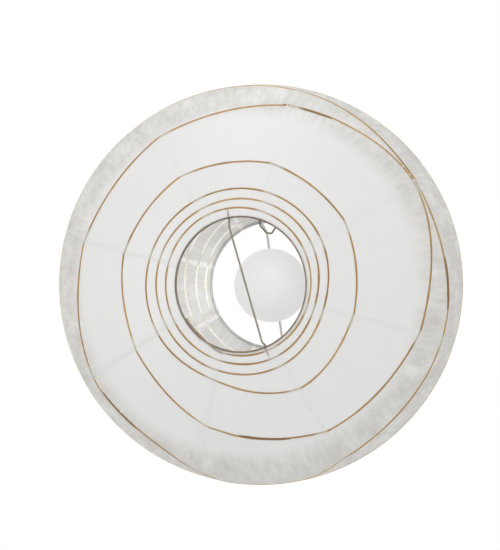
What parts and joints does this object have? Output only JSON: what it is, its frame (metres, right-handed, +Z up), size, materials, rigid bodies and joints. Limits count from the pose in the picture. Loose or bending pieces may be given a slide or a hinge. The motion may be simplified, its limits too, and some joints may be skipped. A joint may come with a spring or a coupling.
{
  "type": "paper lantern",
  "caption": "Disc-shaped paper pendant lantern with a hand-wound bamboo spiral, wire hoops and stretcher, and a globe bulb in a lamp holder.",
  "frame": {"origin": "mouth of the cord hole in the neck of the lamp holder's cap, where the pendant flex enters", "axes": "+Z up along the shade's axis, from the bottom hoop to the top hoop; +X toward the side the bulb leans to"},
  "size_m": [0.5368, 0.5189, 0.2015],
  "materials": {
    "paper": "thin washi, slightly fibrous",
    "bamboo": "split bamboo, satin",
    "hoop_wire": "taupe lacquered wire",
    "stretcher_wire": "taupe lacquered spring wire",
    "bridge_wire": "bright drawn wire",
    "holder_plastic": "white moulded thermoplastic",
    "ceramic": "unglazed steatite",
    "brass": "pressed brass",
    "zinc_steel": "zinc plated",
    "nickel": "nickel plated",
    "black_glass": "dark glass insulator",
    "opal_glass": "opal, satin",
    "led_aluminium": "bare sheet",
    "circuit_board": "solder mask"
  },
  "bodies": {
    "lamp_holder": {"holder_cap": "holder_plastic", "holder_insert": "ceramic", "terminal_blocks": "brass", "terminal_screws": "zinc_steel", "screw_shell": "brass"},
    "cord_grip": {"cord_grip_screw": "holder_plastic"},
    "holder_sleeve": {"holder_skirt": "holder_plastic"},
    "contact": {"centre_contact": "brass"},
    "bulb": {"bulb_globe": "opal_glass", "bulb_housing": "holder_plastic", "bulb_screw_cap": "nickel", "bulb_insulator": "black_glass", "bulb_tip_contact": "nickel", "led_plate": "led_aluminium", "driver_board": "circuit_board"},
    "shade_top": {"top_hoop": "hoop_wire", "bridge_wire_left": "bridge_wire", "bridge_wire_right": "bridge_wire", "stretcher_wire": "stretcher_wire", "gore_1": "paper", "gore_2": "paper", "gore_3": "paper", "gore_4": "paper", "gore_5": "paper", "gore_6": "paper", "gore_7": "paper", "gore_8": "paper", "rib_01": "bamboo", "rib_02": "bamboo", "rib_03": "bamboo", "rib_04": "bamboo", "rib_05": "bamboo", "rib_06": "bamboo", "rib_07": "bamboo", "rib_08": "bamboo", "rib_09": "bamboo", "rib_10": "bamboo", "rib_11": "bamboo", "rib_12": "bamboo", "rib_13": "bamboo", "rib_14": "bamboo", "rib_15": "bamboo", "rib_16": "bamboo", "rib_17": "bamboo", "rib_18": "bamboo", "rib_19": "bamboo", "rib_20": "bamboo", "rib_21": "bamboo", "rib_22": "bamboo", "rib_23": "bamboo"},
    "shade_bottom": {"bottom_hoop": "hoop_wire"}
  },
  "joints": [
    {"name": "shade_tilt", "type": "hinge", "parent": "lamp_holder", "child": "shade_top", "pos_m": [0.00611, 0.00032, -0.02527], "axis": [0.0523, -0.9986, 0], "range_deg": [-6, 13.6]},
    {"name": "shade_press_up", "type": "slide", "parent": "shade_top", "child": "shade_bottom", "axis": [0, 0, 1], "range_m": [0, 0.016], "stiffness_N_per_m": 60, "deforming": ["gore_1", "gore_2", "gore_3", "gore_4", "gore_5", "gore_6", "gore_7", "gore_8", "rib_01", "rib_02", "rib_03", "rib_04", "rib_05", "rib_06", "rib_07", "rib_08", "rib_09", "rib_10", "rib_11", "rib_12", "rib_13", "rib_14", "rib_15", "rib_16", "rib_17", "rib_18", "rib_19", "rib_20", "rib_21", "rib_22", "rib_23", "stretcher_wire"]},
    {"name": "bulb_screw", "type": "hinge", "parent": "lamp_holder", "child": "bulb", "pos_m": [0.0202, 0.00106, -0.08359], "axis": [-0.2348, -0.0123, 0.972], "continuous": true},
    {"name": "sleeve_unscrew", "type": "hinge", "parent": "lamp_holder", "child": "holder_sleeve", "pos_m": [0.0155, 0.00081, -0.06415], "axis": [-0.2348, -0.0123, 0.972], "continuous": true},
    {"name": "cord_grip_turn", "type": "hinge", "parent": "lamp_holder", "child": "cord_grip", "pos_m": [0.00164, 0.00009, -0.0068], "axis": [-0.0015, 0.9999, 0.0123], "continuous": true},
    {"name": "contact_spring", "type": "slide", "parent": "lamp_holder", "child": "contact", "axis": [-0.2348, -0.0123, 0.972], "range_m": [0, 0.0012], "stiffness_N_per_m": 1500}
  ]
}
